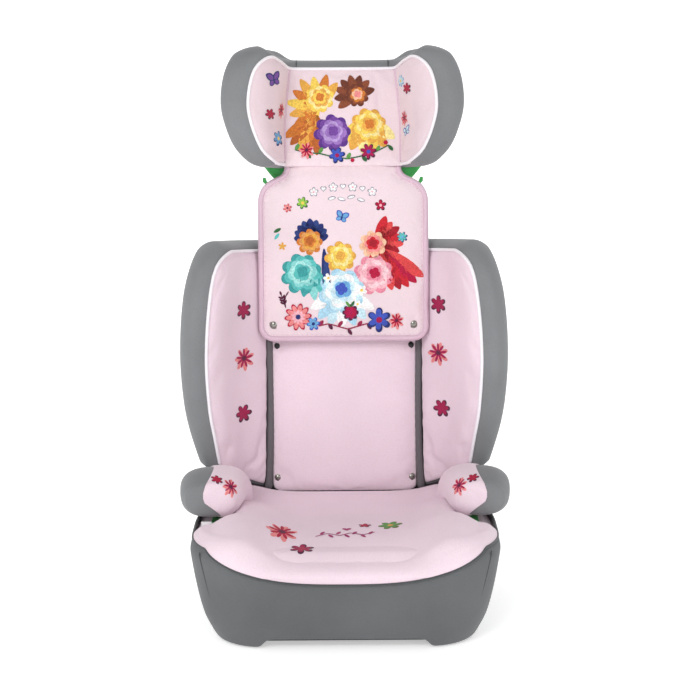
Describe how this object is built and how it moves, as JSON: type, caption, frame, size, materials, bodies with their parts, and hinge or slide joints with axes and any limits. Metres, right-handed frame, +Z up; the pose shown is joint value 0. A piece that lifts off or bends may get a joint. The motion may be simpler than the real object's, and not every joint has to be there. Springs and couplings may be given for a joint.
{
  "type": "booster seat",
  "caption": "High-backed child's booster seat with armrests, side wings, a height-adjustable winged headrest, a padded apron and a reclining backrest.",
  "frame": {"origin": "middle of the footprint's bounding box, on the floor under the feet", "axes": "+Z up, the sitter faces -Y, +X to the right seen from the front"},
  "size_m": [0.46, 0.445, 0.7878],
  "materials": {
    "shell_plastic": "matte",
    "pink_fabric": "matte",
    "grey_fabric": "matte",
    "padding": "matte",
    "green_plastic": "satin",
    "piping": "satin",
    "black_snap": "gloss",
    "bright_metal": "polished",
    "steel": "satin"
  },
  "bodies": {
    "base": {"base_shell": "shell_plastic", "seat_foam": "padding", "seat_cover": "pink_fabric", "seat_skirt": "grey_fabric", "armrest_cap_right": "grey_fabric", "armrest_cap_left": "grey_fabric", "armrest_panel_right": "pink_fabric", "armrest_panel_left": "pink_fabric", "lap_belt_guide_right": "green_plastic", "lap_belt_guide_left": "green_plastic", "pivot_rod": "steel", "foot_front_right": "shell_plastic", "foot_front_left": "shell_plastic", "foot_rear_right": "shell_plastic", "foot_rear_left": "shell_plastic", "care_label": "piping"},
    "backrest": {"back_shell": "shell_plastic", "wing_panel_right": "pink_fabric", "wing_panel_left": "pink_fabric", "wing_cover_right": "grey_fabric", "wing_cover_left": "grey_fabric", "wing_foam_right": "padding", "wing_foam_left": "padding", "wing_piping_right": "piping", "wing_piping_left": "piping", "back_pad_foam": "padding", "back_pad_cover": "pink_fabric", "pad_binding_right": "grey_fabric", "pad_binding_left": "grey_fabric", "pad_snap_upper_right": "black_snap", "pad_snap_upper_left": "black_snap", "pad_snap_lower_right": "bright_metal", "pad_snap_lower_left": "bright_metal", "height_rail_right": "shell_plastic", "height_rail_left": "shell_plastic", "rail_screw_top_right": "bright_metal", "rail_screw_top_left": "bright_metal", "rail_screw_bottom_right": "bright_metal", "rail_screw_bottom_left": "bright_metal", "hinge_hook_right": "shell_plastic", "hinge_hook_left": "shell_plastic"},
    "headrest": {"head_panel_middle": "pink_fabric", "head_panel_right": "pink_fabric", "head_panel_left": "pink_fabric", "head_cover": "grey_fabric", "head_shell": "shell_plastic", "head_foam": "padding", "head_piping_right": "piping", "head_piping_left": "piping", "shoulder_belt_guide_right": "green_plastic", "shoulder_belt_guide_left": "green_plastic", "apron": "pink_fabric", "apron_snap_right": "bright_metal", "apron_snap_left": "bright_metal", "handle_housing": "shell_plastic", "handle_spring": "steel"},
    "handle": {"adjuster_handle": "green_plastic", "pull_rod": "steel"},
    "lock": {"lock_bar": "steel"}
  },
  "joints": [
    {"name": "backrest_recline", "type": "hinge", "parent": "base", "child": "backrest", "pos_m": [0, 0.13454, 0.075], "axis": [-1, 0, 0], "range_deg": [0, 25]},
    {"name": "headrest_height", "type": "slide", "parent": "backrest", "child": "headrest", "axis": [0, 0.1219, 0.9925], "range_m": [-0.1, 0.02]},
    {"name": "handle_pull", "type": "slide", "parent": "headrest", "child": "handle", "axis": [0, 0.1219, 0.9925], "range_m": [0, 0.006], "stiffness_N_per_m": 400, "springref_m": -0.008, "deforming": ["handle_spring"]},
    {"name": "lock_slide", "type": "slide", "parent": "headrest", "child": "lock", "axis": [0, 0.9925, -0.1219], "range_m": [0, 0.006]}
  ],
  "couplings": [
    {"joint": "lock_slide", "follows": "handle_pull", "ratio": 1}
  ]
}
